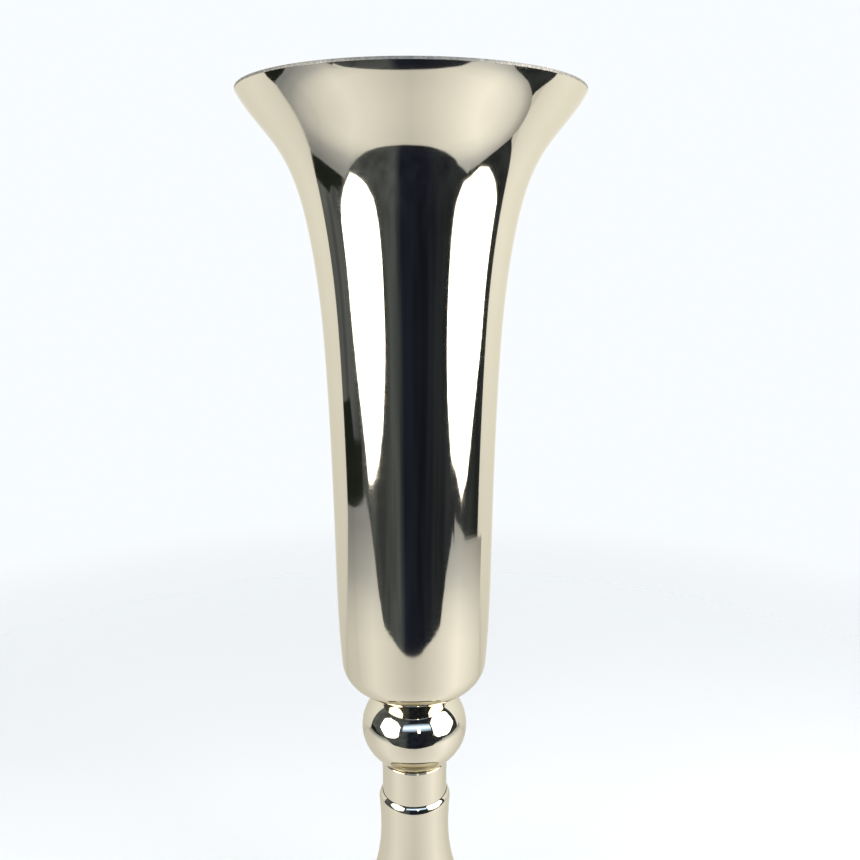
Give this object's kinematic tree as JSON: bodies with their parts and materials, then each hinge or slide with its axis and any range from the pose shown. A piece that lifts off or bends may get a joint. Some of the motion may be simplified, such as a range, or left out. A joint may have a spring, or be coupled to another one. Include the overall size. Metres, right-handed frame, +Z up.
{
  "type": "trumpet vase",
  "caption": "Tall mirror-plated trumpet vase: flared cup for cut flowers, bolted through a ball knop and a short neck to a weighted flared foot.",
  "frame": {"origin": "centre of the base, on the surface that the vase stands on", "axes": "+Z up along the vase's axis of revolution, from the foot to the mouth; +X to the right in the picture"},
  "size_m": [0.16, 0.16, 0.48],
  "materials": {
    "champagne_plate": "mirror-polished pale champagne plating on spun steel",
    "zinc_steel": "bright zinc-plated steel",
    "cast_weight": "black-painted casting",
    "black_rubber": "matte"
  },
  "bodies": {
    "foot": {"flared_foot": "champagne_plate", "stem_plate": "zinc_steel", "coupling_nut": "zinc_steel", "tie_rod": "zinc_steel", "base_weight": "cast_weight", "base_washer": "zinc_steel", "spring_washer": "zinc_steel", "base_nut": "zinc_steel", "pad_ring": "black_rubber"},
    "knop": {"ball_knop": "champagne_plate", "neck_ferrule": "champagne_plate"},
    "cup": {"trumpet_cup": "champagne_plate", "cup_bolt": "zinc_steel", "bolt_washer": "zinc_steel", "seal_washer": "black_rubber", "backing_washer": "zinc_steel", "lock_nut": "zinc_steel"}
  },
  "joints": [
    {"name": "cup_turn", "type": "hinge", "parent": "foot", "child": "knop", "pos_m": [0, 0, 0.122], "axis": [0, 0, 1], "range_deg": [0, 4320]},
    {"name": "cup_rise", "type": "slide", "parent": "knop", "child": "cup", "axis": [0, 0, 1], "range_m": [0, 0.012]}
  ],
  "couplings": [
    {"joint": "cup_rise", "follows": "cup_turn", "m_per_rad": 0.00015915}
  ]
}
